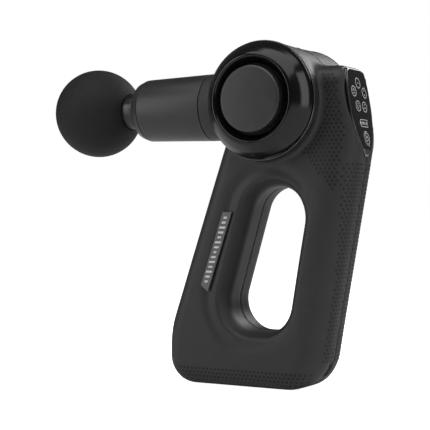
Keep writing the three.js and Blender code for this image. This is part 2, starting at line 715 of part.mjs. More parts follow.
const hubInner = bearingRadius + gap / 2;
const hubOuter = hubInner + 1.4;
const statorY = motorPlateY + motorPlateThickness + 2;
const canY = statorY - 1;
const magnetOuter = statorRadius + airGap + magnetThickness;
const canInner = magnetOuter + gap / 2;
const canOuter = canInner + canWall;
const canEnd = statorY + statorHeight + 4;
const shaftEnd = canEnd + 0.6;
const plateRadius = boreRadius - 1.5 * gap;
piece('motor_shaft', rod(shaftRadius, crankWheelY + 0.2, shaftEnd, 'y', roundSmall, axis), steel, 0.2, 1);
piece('shaft_bearing_front', tube(shaftRadius + gap / 2, bearingRadius, motorPlateY,
  motorPlateY + bearingWidth, 'y', roundSmall, axis), steel, 0.25, 1);
piece('shaft_bearing_rear', tube(shaftRadius + gap / 2, bearingRadius,
  statorY + statorHeight - bearingWidth, statorY + statorHeight, 'y', roundSmall, axis), steel, 0.25, 1);
const plateDisc = turned([
  [hubInner, motorPlateY], [plateRadius, motorPlateY],
  [plateRadius, motorPlateY + motorPlateThickness], [hubOuter, motorPlateY + motorPlateThickness],
  [hubOuter, statorY + statorHeight], [hubInner, statorY + statorHeight],
], 'y', roundMedium, axis);
piece('motor_plate', cut(plateDisc, skirtRoom, ...plateScrewHoles), 0x9a9da2, 0.4, 1);
plateScrews.forEach((place, i) => piece(`motor_plate_screw_${i + 1}`, turned([
  [0, motorPlateY - gap - screwHeadHeight], [screwHeadRadius, motorPlateY - gap - screwHeadHeight],
  [screwHeadRadius, motorPlateY - gap], [screwRadius, motorPlateY - gap],
  [screwRadius, shelfY + shelfThickness], [0, shelfY + shelfThickness],
], 'y', 12, place), steel, 0.3, 1));

const spread = (count, make) => Array.from({ length: count }, (_, i) =>
  make((i / count) * 2 * Math.PI));
// The slots follow the room between the hub and the stator's edge.
const toothScale = (statorRadius - hubOuter - gap) / (drawnStatorRadius - hubOuter - gap);
const coreBack = hubOuter + gap + yokeDepth * toothScale;
const windingRoot = coreBack + windingDrop * toothScale;
const windingEdge = statorRadius - windingRoom * toothScale;
const slotScale = windingRoot / (hubOuter + gap + yokeDepth + windingDrop);
const tipRoot = statorRadius - tipDepth * toothScale;
const tipScale = tipRoot / (drawnStatorRadius - tipDepth);
const toothEdge = statorRadius - toothTrim;
function statorTooth(angle, width, from, to, inset) {
  const geometry = new THREE.BoxGeometry(to - from, statorHeight - inset, width);
  geometry.translate((from + to) / 2, statorY + statorHeight / 2, 0);
  geometry.rotateY(angle);
  return solid(geometry.translate(...axis));
}
const slotPitch = (2 * Math.PI) / statorTeeth;
const statorCore = join(
  tube(hubOuter + gap, coreBack, statorY, statorY + statorHeight, 'y', roundMedium, axis),
  ...spread(statorTeeth, (a) =>
    statorTooth(a, toothWidth * slotScale, coreBack - toothTrim, toothEdge, 0)),
  ...spread(statorTeeth, (a) => statorTooth(a, tipWidth * tipScale, tipRoot, toothEdge, 0)),
);
piece('stator_core', statorCore, 0x7d8086, 0.5, 1);
const windingEnd = tube(windingRoot, windingEdge, statorY + statorHeight + gap,
  statorY + statorHeight + 1.8, 'y', roundMedium, axis);
piece('stator_windings', join(windingEnd, ...spread(statorTeeth, (a) =>
  statorTooth(a + slotPitch / 2, windingWidth * slotScale, windingRoot, windingEdge, -1))),
0xb06a32, 0.35, 1);
piece('rotor_magnets', tube(statorRadius + airGap, magnetOuter, canY + 0.5, statorY + statorHeight,
  'y', roundMedium, axis), 0x55585c, 0.4, 1);
piece('rotor_can', turned([
  [canInner, canY], [canOuter, canY], [canOuter, canEnd], [shaftRadius + gap / 2, canEnd],
  [shaftRadius + gap / 2, canEnd - canWall], [canInner, canEnd - canWall],
], 'y', roundMedium, axis), 0xa3a6ab, 0.3, 1);

// ---------------------------------------------------------------- electronics

const driveBoard = cut(
  rod(plateRadius, -shelfY + gap, -shelfY + gap + boardThickness, 'y', roundMedium, axis), skirtRoom);
piece('drive_board', driveBoard, 0x1d5a34, 0.5);
const partsY = -shelfY + boardThickness + 2 * gap;
piece('motor_driver_chip', box([drumX + 2, partsY, drumZ + 8], [drumX + 10, partsY + 1.4, drumZ + 16]),
  0x2b2b2e, 0.4);
piece('drive_capacitor', rod(3.2, partsY, partsY + 5, 'y', 16, [drumX + 21, 0, drumZ + 8]), 0x3a4a6a, 0.3);

const portSocket = cut(portPill(0, -portDepth, -0.6), portPill(-0.9, -portDepth + 1.5, 2));
piece('charge_port', portSocket, 0x0c0c0d, 0.3);
const boardZ = Math.max(bossPoints[2].z + bossRadius, baseCellZ + cellRadius) + boardRise;
piece('charge_board', box([bossPoints[2].x - 14, -9, boardZ],
  [bossPoints[2].x + 8, 9, boardZ + boardThickness]), 0x1d5a34, 0.5);

// ---------------------------------------------------------------- cells

function lying(geometryOf, start, along) {
  return (inner, outer, from, to) => {
    const geometry = geometryOf(inner, outer, from, to);
    const turnTo = new THREE.Quaternion().setFromUnitVectors(new THREE.Vector3(0, 1, 0), along);
    return solid(geometry.applyQuaternion(turnTo).translate(start.x, 0, start.z));
  };
}
const pipe = (inner, outer, from, to) => {
  const pairs = inner > 0
    ? [[inner, from], [outer, from], [outer, to], [inner, to], [inner, from]]
    : [[0, from], [outer, from], [outer, to], [0, to]];
  return new THREE.LatheGeometry(pairs.map(([r, t]) => new THREE.Vector2(r, t)), roundSmall);
};
const cellPlaces = {
  front: {
    start: {
      x: frontEdge(frontCellZ) + cellPost / 2 + frontCellInset,
      z: frontCellZ,
    },
    along: new THREE.Vector3(frontSlope, 0, 1).normalize(),
  },
  base: {
    start: { x: baseFront + wall + baseCellInset, z: baseCellZ },
    along: new THREE.Vector3(1, 0, 0),
  },
};
for (const [name, { start, along }] of Object.entries(cellPlaces)) {
  const place = lying(pipe, start, along);
  piece(`battery_cell_${name}`, place(0, cellRadius, 0, cellLength), 0x2f6fb5, 0.35);
  const cradle = place(cellRadius + gap, cellRadius + gap + cradleWall, 6, cellLength - 6);
  const side = new THREE.Vector3(-along.z, 0, along.x);
  const mouth = new THREE.BoxGeometry(cellRadius * 2, cellLength * 2, 60);
  mouth.translate(cellRadius * 1.35, 0, 0);
  mouth.applyQuaternion(new THREE.Quaternion().setFromRotationMatrix(
    new THREE.Matrix4().makeBasis(side, along, new THREE.Vector3().crossVectors(side, along))));
  piece(`battery_cradle_${name}`,
    cut(cradle, solid(mouth.translate(start.x, 0, start.z))), 0x151517, 0.6);
}

// ---------------------------------------------------------------- trim and screws

piece('badge_plate', badgeSpan(0, -handleHalf - 0.25, -handleHalf + badgeThickness), satinGrey, 0.35);
piece('vent_insert', ventPill(0, drumRadius - drumWaist - ventDepth + gap, drumRadius - drumWaist - 0.4),
  0x050505, 0.5);
bossPoints.forEach(({ x, z }, i) => piece(`shell_screw_${i + 1}`, turned([
  [0, -handleHalf + 2 * wall + gap], [screwRadius, -handleHalf + 2 * wall + gap],
  [screwRadius, screwSeat - screwHeadHeight], [screwHeadRadius, screwSeat - screwHeadHeight],
  [screwHeadRadius, screwSeat], [0, screwSeat],
], 'y', 12, [x, 0, z]), 0x3c3c40, 0.4, 1));

export default massager;
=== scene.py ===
import json
import math

import bpy
import numpy as np
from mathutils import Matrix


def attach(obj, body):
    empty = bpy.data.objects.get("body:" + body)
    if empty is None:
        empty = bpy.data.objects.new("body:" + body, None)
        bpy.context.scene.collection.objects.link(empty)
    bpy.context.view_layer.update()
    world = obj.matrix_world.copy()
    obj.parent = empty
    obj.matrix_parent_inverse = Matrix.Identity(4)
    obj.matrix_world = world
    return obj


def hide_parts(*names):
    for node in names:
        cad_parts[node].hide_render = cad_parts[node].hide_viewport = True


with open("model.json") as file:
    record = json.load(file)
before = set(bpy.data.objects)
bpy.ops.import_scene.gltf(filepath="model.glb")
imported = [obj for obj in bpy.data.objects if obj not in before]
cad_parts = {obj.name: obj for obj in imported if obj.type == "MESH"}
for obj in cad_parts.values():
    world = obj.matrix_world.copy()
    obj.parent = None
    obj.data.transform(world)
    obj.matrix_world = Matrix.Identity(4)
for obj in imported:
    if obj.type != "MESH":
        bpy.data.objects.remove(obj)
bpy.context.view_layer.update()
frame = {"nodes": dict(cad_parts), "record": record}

import openvdb
from mathutils import Vector
from mathutils.bvhtree import BVHTree

# ------------------------------------------------------------------ housing shells
# Two moulded plastic shells with a soft-touch coating form the drum, the neck and the ring
# handle. They meet on an upright plane beside the middle and four screws from the right hold
# them. Sizes are in millimetres, as in the CAD, and turned into metres when a mesh is made.

MM = 0.001
GAP = 0.3
WALL = 2.4
PARTING_Y = 1.0
DRUM_X, DRUM_Z = 28.0, 170.5
DRUM_RADIUS, DRUM_WAIST, DRUM_HALF = 35.1, 0.4, 26.0
BORE_RADIUS = DRUM_RADIUS - DRUM_WAIST - WALL
HANDLE_HALF = 20.5
BASE_FRONT, BASE_REAR, BASE_REAR_RADIUS = -43.0, 58.9, 26.0
KNEE_Z, NECK_FOOT_X, NECK_FOOT_Z = 33.0, 2.0, 162.5
PANEL_REACH, PANEL_DROP = 58.4, 15.0
BASE_BAR, OPENING_TOP = 33.5, 120.5
REAR_POST, FRONT_POST_TOP, FRONT_POST_FOOT = 26.4, 30.5, 35.0
REAR_FLARE, FRONT_FLARE = 6, 15
NECK_RADIUS, SEAM_REACH, SLEEVE_BORE = 20.8, 47.5, 17.9
BOSS_RADIUS = 3.8
REAR_SLOPE = (DRUM_X + PANEL_REACH - BASE_REAR) / (DRUM_Z - PANEL_DROP)
FRONT_SLOPE = (NECK_FOOT_X - BASE_FRONT) / (NECK_FOOT_Z - KNEE_Z)


def front_edge(z):
    return BASE_FRONT + FRONT_SLOPE * (z - KNEE_Z)


def rear_edge(z):
    return BASE_REAR + REAR_SLOPE * z


# corner x, z, radius, then width and depth of the rounding of the edge that starts there
HANDLE_CORNERS = [
    (NECK_FOOT_X, NECK_FOOT_Z, 1, 10, 10), (BASE_FRONT, KNEE_Z, 60, 10, 10),
    (BASE_FRONT, 0, 17, 8, 11), (BASE_REAR, 0, BASE_REAR_RADIUS, 19, 16),
    (DRUM_X + PANEL_REACH, DRUM_Z - PANEL_DROP, 70, 19, 16),
    (DRUM_X + 50, DRUM_Z + 19.5, 10, 9, 12), (DRUM_X + 23.87, DRUM_Z + 20.5, 1, 9, 12),
]
OPENING_CORNERS = [
    (rear_edge(BASE_BAR) - REAR_POST, BASE_BAR, 19, REAR_FLARE, 12),
    (rear_edge(OPENING_TOP) - REAR_POST, OPENING_TOP, 19, 14, 12),
    (front_edge(OPENING_TOP) + FRONT_POST_TOP, OPENING_TOP, 18, FRONT_FLARE, 12),
    (front_edge(BASE_BAR) + FRONT_POST_FOOT, BASE_BAR, 18, 11, 12),
]


def rounded_outline(corners, steps=20):
    """Outline in the X-Z plane with an arc at each corner; neighbouring arcs never meet."""
    place = np.array([c[:2] for c in corners], float)
    ahead = np.roll(place, -1, axis=0) - place
    length = np.linalg.norm(ahead, axis=1)
    ahead /= length[:, None]
    before = np.roll(ahead, 1, axis=0)
    turn = np.arctan2(before[:, 0] * ahead[:, 1] - before[:, 1] * ahead[:, 0],
                      (before * ahead).sum(axis=1))
    radius = np.array([c[2] for c in corners], float)
    tangent = radius * np.tan(np.abs(turn) / 2)
    scale = np.ones(len(corners))
    for i in range(len(corners)):
        j = (i + 1) % len(corners)
        room = 0.99 * length[i] / (tangent[i] + tangent[j])
        scale[i], scale[j] = min(scale[i], room), min(scale[j], room)
    points = []
    for i in range(len(corners)):
        size, side = radius[i] * scale[i], np.sign(turn[i])
        to_centre = np.array([-before[i, 1], before[i, 0]]) * side * size
        centre = place[i] - before[i] * tangent[i] * scale[i] + to_centre
        first = math.atan2(-to_centre[1], -to_centre[0])
        for k in range(steps + 1):
            angle = first + turn[i] * k / steps
            points.append(centre + size * np.array([math.cos(angle), math.sin(angle)]))
    return np.array(points)


def outline_distance(points, x, z):
    """Distance to a closed outline, negative inside."""
    nearest = np.full(x.shape, 1e9)
    inside = np.zeros(x.shape, bool)
    for (ax, az), (bx, bz) in zip(points, np.roll(points, -1, axis=0)):
        ex, ez, px, pz = bx - ax, bz - az, x - ax, z - az
        t = np.clip((px * ex + pz * ez) / max(ex * ex + ez * ez, 1e-12), 0, 1)
        nearest = np.minimum(nearest, np.hypot(px - t * ex, pz - t * ez))
        if az != bz:
            inside ^= ((az > z) != (bz > z)) & (x < ex * (z - az) / ez + ax)
    return np.where(inside, -nearest, nearest)


def edge_rounding(corners, x, z, spread=7.0):
    """Width and depth of the rounding near each point, blended between neighbouring edges."""
    total, width, depth = 1e-12, 0, 0
    for a, b in zip(corners, corners[1:] + corners[:1]):
        ex, ez, px, pz = b[0] - a[0], b[1] - a[1], x - a[0], z - a[1]
        t = np.clip((px * ex + pz * ez) / (ex * ex + ez * ez), 0, 1)
        share = np.exp(-np.hypot(px - t * ex, pz - t * ez) / spread) + 1e-9
        total, width, depth = total + share, width + share * a[3], depth + share * a[4]
    return width / total, depth / total


def rounded_slab(flat, width, depth, y, half):
    """Slab |y| < half whose outline has a quarter-ellipse edge of that width and depth."""
    a = np.maximum(flat / width + 1, 0)
    b = np.maximum((y - half + depth) / depth, 0)
    reach = np.hypot(a, b)
    corner = (reach - 1) * reach / np.maximum(np.hypot(a / width, b / depth), 1e-6)
    return np.where(reach > 1e-4, corner, np.maximum(flat, y - half))


def soft_join(a, b, fillet):
    blend = np.maximum(fillet - np.abs(a - b), 0) / fillet
    return np.minimum(a, b) - blend * blend * fillet / 4


def soft_cut(a, b, fillet):
    return -soft_join(-a, -b, fillet)


HANDLE_LINE = rounded_outline(HANDLE_CORNERS)
OPENING_LINE = rounded_outline(OPENING_CORNERS)

# groove and ridge round the opening: height at the front, places as shares of the flare, widths
STEP_HEIGHT = 1.7
GROOVE_AT, GROOVE_WIDE, RIDGE_AT, RIDGE_WIDE = 0.85, 3.0, 0.38, 2.2


def handle_fields(xs, ys, zs):
    """Fields of the handle block and of the rim round the finger opening, a groove and a ridge."""
    x, z = np.meshgrid(xs, zs, indexing="ij")
    y = np.abs(ys)[None, :, None]
    width, depth = edge_rounding(HANDLE_CORNERS, x, z)
    block = rounded_slab(outline_distance(HANDLE_LINE, x, z)[:, None, :],
                         width[:, None, :], depth[:, None, :], y, HANDLE_HALF)
    width, depth = edge_rounding(OPENING_CORNERS, x, z)
    hole = -outline_distance(OPENING_LINE, x, z)[:, None, :]
    width, depth = width[:, None, :], depth[:, None, :]
    rim = rounded_slab(hole, width, depth, y, HANDLE_HALF)
    step_height = STEP_HEIGHT * (width - REAR_FLARE) / (FRONT_FLARE - REAR_FLARE)
    groove = np.exp(-((hole + GROOVE_AT * width) / GROOVE_WIDE) ** 2)
    ridge = np.exp(-((hole + RIDGE_AT * width) / RIDGE_WIDE) ** 2)
    return block, rim + step_height * (groove - ridge)


def outer_field(xs, ys, zs, block, rim):
    x, y, z = xs[:, None, None], ys[None, :, None], zs[None, None, :]
    waist = DRUM_RADIUS - DRUM_WAIST * (1 - np.clip(y / DRUM_HALF, -1, 1) ** 2)
    drum = np.maximum(np.hypot(x - DRUM_X, z - DRUM_Z) - waist, np.abs(y) - DRUM_HALF)
    neck = np.maximum(np.hypot(y, z - DRUM_Z) - NECK_RADIUS, DRUM_X - SEAM_REACH + GAP / 2 - x)
    neck = np.maximum(neck, x - DRUM_X + 5)
    body = soft_cut(block, rim, 3.0)
    return soft_join(soft_join(body, drum, 4.0), neck, 3.0)


PANEL_TILT = math.radians(9.8)
PANEL_BACK = 50.7
PANEL_OUT = np.array([math.cos(PANEL_TILT), 0, math.sin(PANEL_TILT)])
LENS_THICK, LENS_PROUD = 1.5, 0.2
LENS_SINK = LENS_THICK - LENS_PROUD + GAP
KEY_Z = DRUM_Z - 22.8
KEY_RADIUS, KEY_POCKET = 4.3, 9.9
LENS_TIP_Z, LENS_WIDE_Z, LENS_RISE, LENS_HALF = 134.0, 170.0, 40.0, 15.6


def panel_x(z):
    return DRUM_X + PANEL_BACK - (z - DRUM_Z) * math.tan(PANEL_TILT)


KEY_POINT = np.array([panel_x(KEY_Z), 0, KEY_Z])


def beyond_panel(x, z):
    return (x - DRUM_X - PANEL_BACK) * PANEL_OUT[0] + (z - DRUM_Z) * PANEL_OUT[2]


def lens_outline(y, z):
    """Leaf that the lens fills: widest above its middle, with a pointed lower tip."""
    span = np.where(z < LENS_WIDE_Z, LENS_WIDE_Z - LENS_TIP_Z, LENS_RISE)
    half = LENS_HALF * (1 - ((z - LENS_WIDE_Z) / span) ** 2)
    return (np.abs(y) - half) * 0.8


def key_distance(x, y, z):
    across = -(x - KEY_POINT[0]) * PANEL_OUT[2] + (z - KEY_POINT[2]) * PANEL_OUT[0]
    return np.hypot(across, y)


PORT_TURN = math.radians(-33)
PORT_OUT = np.array([math.cos(PORT_TURN), 0, math.sin(PORT_TURN)])
port_corner = math.tan((math.pi / 2 - math.atan(REAR_SLOPE)) / 2)
PORT_CENTRE = (np.array([BASE_REAR - BASE_REAR_RADIUS * port_corner, 0, BASE_REAR_RADIUS])
               + BASE_REAR_RADIUS * PORT_OUT)
PORT_HALF, PORT_REACH, PORT_POCKET = 1.8, 2.95, 12
VENT_TURN = math.radians(24)
VENT_OUT = np.array([math.sin(VENT_TURN), 0, math.cos(VENT_TURN)])
VENT_CENTRE = np.array([DRUM_X, 0, DRUM_Z]) + (DRUM_RADIUS - DRUM_WAIST) * VENT_OUT
VENT_HALF, VENT_REACH, VENT_POCKET = 1.5, 3.0, 1.6


def pill_field(x, y, z, centre, out, half, reach, floor):
    """Pill-shaped pocket that opens along out, down to floor under the centre."""
    px, pz = x - centre[0], z - centre[2]
    along, up = -px * out[2] + pz * out[0], px * out[0] + pz * out[2]
    return np.maximum(np.hypot(np.maximum(np.abs(along) - reach, 0), y) - half, floor - up)


BADGE_LOW = np.array([front_edge(61) + 16, 61.0])
BADGE_ALONG = np.array([FRONT_SLOPE, 1.0]) / math.hypot(FRONT_SLOPE, 1.0)
BADGE_ACROSS = np.array([BADGE_ALONG[1], -BADGE_ALONG[0]])
BADGE_LENGTH, BADGE_WIDTH, BADGE_SLANT, BADGE_THICK = 47.0, 5.8, 2.0, 0.8


def on_badge(u, v):
    return BADGE_LOW + BADGE_ALONG * u + BADGE_ACROSS * v


def badge_outline(grow):
    return np.array([
        on_badge(-grow, -grow), on_badge(-BADGE_SLANT - grow, BADGE_WIDTH + grow),
        on_badge(BADGE_LENGTH + BADGE_SLANT + grow, BADGE_WIDTH + grow),
        on_badge(BADGE_LENGTH + grow, -grow)])


BOSSES = [(front_edge(OPENING_TOP + 11) + 15, OPENING_TOP + 11),
          (front_edge(BASE_BAR) + 13.5, BASE_BAR + 2), (BASE_REAR - 17.5, 20.0),
          (rear_edge(OPENING_TOP - 24) - REAR_POST * 0.6, OPENING_TOP - 24)]
SCREW_SEAT, SCREW_HEAD, SCREW_HEAD_TALL = HANDLE_HALF - 1.2, 2.7, 1.8


def shell_field(xs, ys, zs):
    x, y, z = xs[:, None, None], ys[None, :, None], zs[None, None, :]
    block, rim = handle_fields(xs, ys, zs)
    outer = outer_field(xs, ys, zs, block, rim)
    panel = beyond_panel(x, z)
    hollow = np.maximum(np.maximum(block, rim) + WALL, panel + LENS_SINK + WALL)
    hollow = np.minimum(hollow, np.hypot(x - DRUM_X, z - DRUM_Z) - BORE_RADIUS)
    hollow = np.minimum(hollow, np.maximum(np.hypot(y, z - DRUM_Z) - SLEEVE_BORE,
                                         x - DRUM_X + 10))
    shell = np.maximum(outer, -hollow)
    for bx, bz in BOSSES:
        around = np.hypot(x - bx, z - bz)
        shell = np.minimum(shell, np.maximum(around - BOSS_RADIUS, np.abs(y) - HANDLE_HALF + WALL / 2))
        head_room = np.maximum(around - SCREW_HEAD - GAP, SCREW_SEAT - SCREW_HEAD_TALL - GAP - y)
        shell = np.maximum(shell, -head_room)
    shell = np.maximum(shell, panel)
    shell = soft_cut(shell, -np.maximum(-panel - LENS_SINK, lens_outline(y, z) - 0.1), 0.8)
    shell = np.maximum(shell, -np.maximum(key_distance(x, y, z) - KEY_RADIUS - GAP,
                                       -KEY_POCKET - panel))
    shell = np.maximum(shell, -pill_field(x, y, z, PORT_CENTRE, PORT_OUT,
                                          PORT_HALF + GAP, PORT_REACH, -PORT_POCKET))
    shell = np.maximum(shell, -pill_field(x, y, z, VENT_CENTRE, VENT_OUT,
                                          VENT_HALF + GAP, VENT_REACH, -VENT_POCKET))
    flat_x, flat_z = np.meshgrid(xs, zs, indexing="ij")
    pocket = outline_distance(badge_outline(GAP / 2), flat_x, flat_z)[:, None, :]
    return np.maximum(shell, -np.maximum(pocket, y + HANDLE_HALF - BADGE_THICK - GAP / 2))


def signed_volume(points, faces):
    total = 0.0
    for size in {len(f) for f in faces}:
        block = np.array([f for f in faces if len(f) == size])
        for k in range(1, size - 1):
            a, b, c = points[block[:, 0]], points[block[:, k]], points[block[:, k + 1]]
            total += float(np.einsum("ij,ij->", a, np.cross(b, c)))
    return total


def make_solid(name, points, faces, crease=40):
    """Closed mesh from points in millimetres, with its faces turned outwards."""
    points = np.asarray(points, float)
    if signed_volume(points, faces) < 0:
        faces = [f[::-1] for f in faces]
    mesh = bpy.data.meshes.new(name)
    mesh.from_pydata((points * MM).tolist(), [], faces)
    mesh.shade_smooth()
    mesh.set_sharp_from_angle(angle=math.radians(crease))
    piece = bpy.data.objects.new(name, mesh)
    bpy.context.collection.objects.link(piece)
    return piece


def solid_from_field(name, field, low, step, crease=40):
    grid = openvdb.FloatGrid(background=5.0)
    grid.copyFromArray(np.ascontiguousarray(np.clip(field, -5, 5), dtype=np.float32))
    points, triangles, quads = grid.convertToPolygons(isovalue=0.0)
    faces = np.array(triangles).reshape(-1, 3).tolist() + np.array(quads).reshape(-1, 4).tolist()
    return make_solid(name, np.array(points) * step + low, faces, crease)


def finish(name, colour, roughness, grain=0.3, relief=0.08, mottle=0.12, metallic=0.0,
           specular=0.5, coat=0.0):
    """Material with a fine grain: grain is its size and relief its height, both in mm."""
    material = bpy.data.materials.new(name)
    material.use_nodes = True
    nodes, links = material.node_tree.nodes, material.node_tree.links
    shader = nodes["Principled BSDF"]
    place = nodes.new("ShaderNodeTexCoord")
    broad, fine = nodes.new("ShaderNodeTexNoise"), nodes.new("ShaderNodeTexNoise")
    for noise, size in ((broad, 9.0), (fine, grain)):
        noise.inputs["Scale"].default_value = 1 / (size * MM)
        noise.inputs["Detail"].default_value = 2.0
        links.new(place.outputs["Object"], noise.inputs["Vector"])
    ramp = nodes.new("ShaderNodeValToRGB")
    for stop, tone in ((0, 1 - mottle), (1, 1 + mottle)):
        ramp.color_ramp.elements[stop].position = 0.3 + 0.4 * stop
        ramp.color_ramp.elements[stop].color = [min(1, c * tone) for c in colour] + [1]
    links.new(broad.outputs["Fac"], ramp.inputs["Fac"])
    links.new(ramp.outputs["Color"], shader.inputs["Base Color"])
    spread = nodes.new("ShaderNodeMapRange")
    spread.inputs["To Min"].default_value = max(0.02, roughness * 0.9)
    spread.inputs["To Max"].default_value = min(1, roughness * 1.12)
    links.new(broad.outputs["Fac"], spread.inputs["Value"])
    links.new(spread.outputs["Result"], shader.inputs["Roughness"])
    bump = nodes.new("ShaderNodeBump")
    bump.inputs["Strength"].default_value = 0.6
    bump.inputs["Distance"].default_value = relief * MM
    links.new(fine.outputs["Fac"], bump.inputs["Height"])
    links.new(bump.outputs["Normal"], shader.inputs["Normal"])
    shader.inputs["Metallic"].default_value = metallic
    shader.inputs["Specular IOR Level"].default_value = specular
    shader.inputs["Coat Weight"].default_value = coat
    shader.inputs["Coat Roughness"].default_value = 0.04
    return material


soft_touch = finish("soft_touch_black", (0.014, 0.014, 0.0145), 0.5, grain=0.35, relief=0.04,
                    specular=0.42)
SHELL_STEP = 0.75
shell_x = np.arange(-47.0, 90.0, SHELL_STEP)
shell_y = np.arange(-29.0, 29.5, SHELL_STEP)
shell_z = np.arange(-4.0, 209.0, SHELL_STEP)
shell = shell_field(shell_x, shell_y, shell_z)
shell_low = np.array([shell_x[0], shell_y[0], shell_z[0]])
housing_shells = []
for name, side in (("left", -1), ("right", 1)):
    parting = (PARTING_Y - shell_y[None, :, None]) * side + 0.05
    half_shell = solid_from_field(f"soft_shell_{name}", np.maximum(shell, parting),
                                  shell_low, SHELL_STEP)
    half_shell.data.materials.append(soft_touch)
    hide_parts(f"housing_{name}")
    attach(half_shell, "housing")
    housing_shells.append(half_shell)

# ------------------------------------------------------------------ grip dimples
# Small round dimples in a staggered field give the palm a hold. They are part of the moulding
# and run behind the drum, down the rear of the handle and along its lower edge, on both sides.
# Each is a shallow dish laid on the shell, coloured darker than the shell as painted shade in its pit.

DIMPLE_RADIUS, DIMPLE_PITCH, DIMPLE_DEPTH, DIMPLE_SINK = 0.85, 2.7, 0.16, 0.07
# slanted lower border of the side patch, as x and z of its two ends
BORDER_START, BORDER_END = (53.5, 138.2), (67.5, 120.8)
surfaces = []
for half_shell in housing_shells:
    vertices = [v.co.copy() for v in half_shell.data.vertices]
    surfaces.append(BVHTree.FromPolygons(vertices, [p.vertices[:] for p in half_shell.data.polygons]))


def touch(start, direction):
    """First point that a ray meets on either shell, with the surface normal there."""
    hits = [s.ray_cast(Vector(start) * MM, Vector(direction)) for s in surfaces]
    hits = [h for h in hits if h[0] is not None]
    return min(hits, key=lambda h: h[3])[:2] if hits else None


rays = []
row_height = DIMPLE_PITCH * math.sqrt(3) / 2
for row in range(82):
    z = 4.0 + row * row_height
    shift = DIMPLE_PITCH / 2 * (row % 2)
    for step in range(-10, 11):
        y = step * DIMPLE_PITCH + shift
        band = np.interp(z, [6, 60, 83, 112, 134], [11, 11.5, 13, 16, 17])
        if 16 < z < 133 and abs(y) <= band and abs(y - PARTING_Y) > 1.3:
            rays.append(((140, y, z), (-1, 0, 0)))
    for column in range(48):
        x = 20 + column * DIMPLE_PITCH + shift
        above_border = ((z - BORDER_START[1]) * (BORDER_END[0] - BORDER_START[0])
                        + (x - BORDER_START[0]) * (BORDER_START[1] - BORDER_END[1])) > 0
        clear_of_drum = math.hypot(x - DRUM_X, z - DRUM_Z) > DRUM_RADIUS + 3
        if above_border and clear_of_drum and x < min(panel_x(z) - 4.5, rear_edge(z) - 8) \
                and 118 < z < 186:
            rays += [((x, side * 60, z), (0, -side, 0)) for side in (-1, 1)]
for row, z in enumerate((3.4, 5.7, 8.0, 10.3)):
    for column in range(34):
        x = -36 + column * DIMPLE_PITCH + DIMPLE_PITCH / 2 * (row % 2)
        rays += [((x, side * 60, z), (0, -side, 0)) for side in (-1, 1)]
dimple_places, dimple_normals = [], []
for start, direction in rays:
    hit = touch(start, direction)
    if hit is None or hit[1].dot(Vector(direction)) > -0.25:
        continue
    if all((hit[0] - other).length > 0.8 * DIMPLE_PITCH * MM for other in dimple_places):
        dimple_places.append(hit[0])
        dimple_normals.append(hit[1])


def node_tree(name, sizes):
    """Empty Geometry Nodes tree with named size inputs; returns it with their identifiers."""
    tree = bpy.data.node_groups.new(name, "GeometryNodeTree")
    tree.interface.new_socket(name="Places", in_out="INPUT", socket_type="NodeSocketGeometry")
    tree.interface.new_socket(name="Result", in_out="OUTPUT", socket_type="NodeSocketGeometry")
    keys = {}
    for size in sizes:
        item = tree.interface.new_socket(name=size, in_out="INPUT", socket_type="NodeSocketFloat")
        keys[size] = item.identifier
    return tree, keys, tree.nodes.new("NodeGroupInput"), tree.nodes.new("NodeGroupOutput")


def scatter(tree, group_in, group_out, shape, material):
    """Puts shape on each place, its Z axis along the outward attribute, as real geometry."""
    nodes, links = tree.nodes, tree.links
    outward = nodes.new("GeometryNodeInputNamedAttribute")
    outward.data_type = "FLOAT_VECTOR"
    outward.inputs["Name"].default_value = "outward"
    align = nodes.new("FunctionNodeAlignRotationToVector")
    align.axis = "Z"
    links.new(outward.outputs["Attribute"], align.inputs["Vector"])
    put = nodes.new("GeometryNodeInstanceOnPoints")
    links.new(group_in.outputs["Places"], put.inputs["Points"])
    links.new(shape, put.inputs["Instance"])
    links.new(align.outputs["Rotation"], put.inputs["Rotation"])
    real = nodes.new("GeometryNodeRealizeInstances")
    paint = nodes.new("GeometryNodeSetMaterial")
    paint.inputs["Material"].default_value = material
    links.new(put.outputs["Instances"], real.inputs["Geometry"])
    links.new(real.outputs["Geometry"], paint.inputs["Geometry"])
    links.new(paint.outputs["Geometry"], group_out.inputs["Result"])


def grow_pieces(name, places, normals, tree, keys, sizes):
    """Runs a tree on these places and keeps the result as a plain mesh. Sizes are in mm."""
    mesh = bpy.data.meshes.new(name)
    mesh.from_pydata([tuple(p) for p in places], [], [])
    outward = mesh.attributes.new("outward", "FLOAT_VECTOR", "POINT")
    outward.data.foreach_set("vector", [c for n in normals for c in n])
    piece = bpy.data.objects.new(name, mesh)
    bpy.context.collection.objects.link(piece)
    modifier = piece.modifiers.new(name, "NODES")
    modifier.node_group = tree
    for size, value in sizes.items():
        modifier[keys[size]] = value * MM
    bpy.context.view_layer.update()
    evaluated = piece.evaluated_get(bpy.context.evaluated_depsgraph_get())
    result = bpy.data.meshes.new_from_object(evaluated)
    piece.modifiers.clear()
    piece.data = result
    return piece


